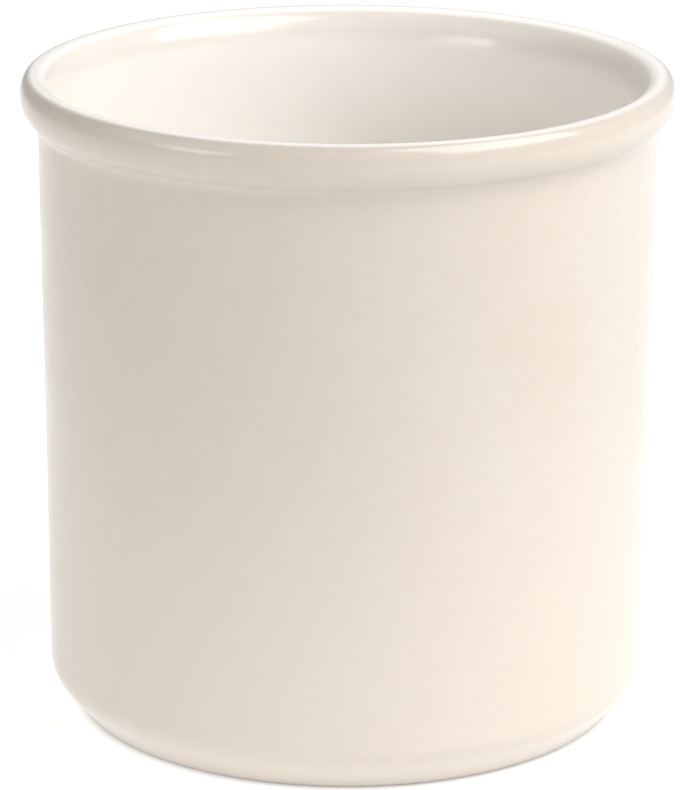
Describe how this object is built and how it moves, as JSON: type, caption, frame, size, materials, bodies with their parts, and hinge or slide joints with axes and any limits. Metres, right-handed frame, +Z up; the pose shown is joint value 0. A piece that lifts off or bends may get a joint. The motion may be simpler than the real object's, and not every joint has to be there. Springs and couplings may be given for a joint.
{
  "type": "fermentation crock",
  "caption": "Open straight-sided stoneware fermenting crock with a rolled rim bead and half-moon weight stones that lift out.",
  "frame": {"origin": "centre of the foot, on the surface the crock stands on", "axes": "+Z up along the crock's axis, -Y towards the viewer, +X to the viewer's right across the split between the stones"},
  "size_m": [0.2488, 0.2488, 0.25],
  "materials": {
    "cream_glaze": "glossy cream glaze over fired stoneware, bare clay under the foot",
    "bare_stoneware": "matt unglazed stoneware with fine specks"
  },
  "bodies": {
    "crock": {"crock": "cream_glaze"},
    "stone_left": {"weight_stone_left": "bare_stoneware"},
    "stone_right": {"weight_stone_right": "bare_stoneware"}
  },
  "joints": [
    {"name": "stone_left_lift", "type": "slide", "parent": "crock", "child": "stone_left", "axis": [0, 0, 1], "range_m": [0, 0.26]},
    {"name": "stone_right_lift", "type": "slide", "parent": "crock", "child": "stone_right", "axis": [0, 0, 1], "range_m": [0, 0.26]}
  ]
}
